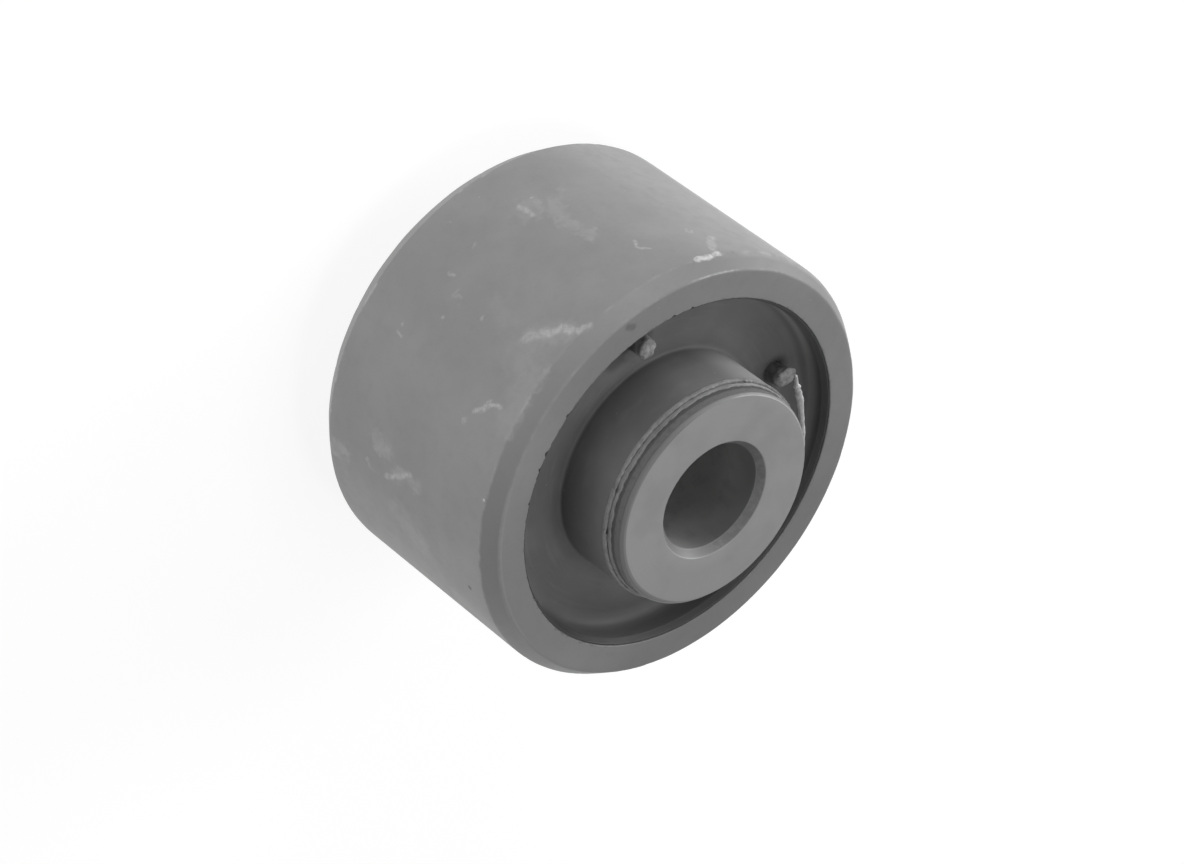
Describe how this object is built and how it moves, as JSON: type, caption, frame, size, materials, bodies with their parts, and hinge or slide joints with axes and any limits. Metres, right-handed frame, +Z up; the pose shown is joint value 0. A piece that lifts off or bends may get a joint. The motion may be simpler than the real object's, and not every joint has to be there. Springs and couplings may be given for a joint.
{
  "type": "shock absorber mount",
  "caption": "Bonded rubber and metal mount bush: thick inner sleeve with bolt bore, moulded rubber ring with recessed ends, chamfered outer sleeve to press into an eye.",
  "frame": {"origin": "centre of the lower end face of the inner sleeve, which the mount stands on", "axes": "+Z up along the axis of both sleeves, towards the end with the two moulding gates; +X towards the first gate"},
  "size_m": [0.057, 0.057, 0.0465],
  "materials": {
    "outer_steel": "dull grey phosphated steel with light scuffs",
    "rubber": "matt moulded black rubber, slightly bloomed grey",
    "inner_steel": "dull grey steel, bare on its broken edges"
  },
  "bodies": {
    "root": {"outer_sleeve": "outer_steel", "rubber_body": "rubber", "inner_sleeve": "inner_steel"}
  },
  "joints": []
}
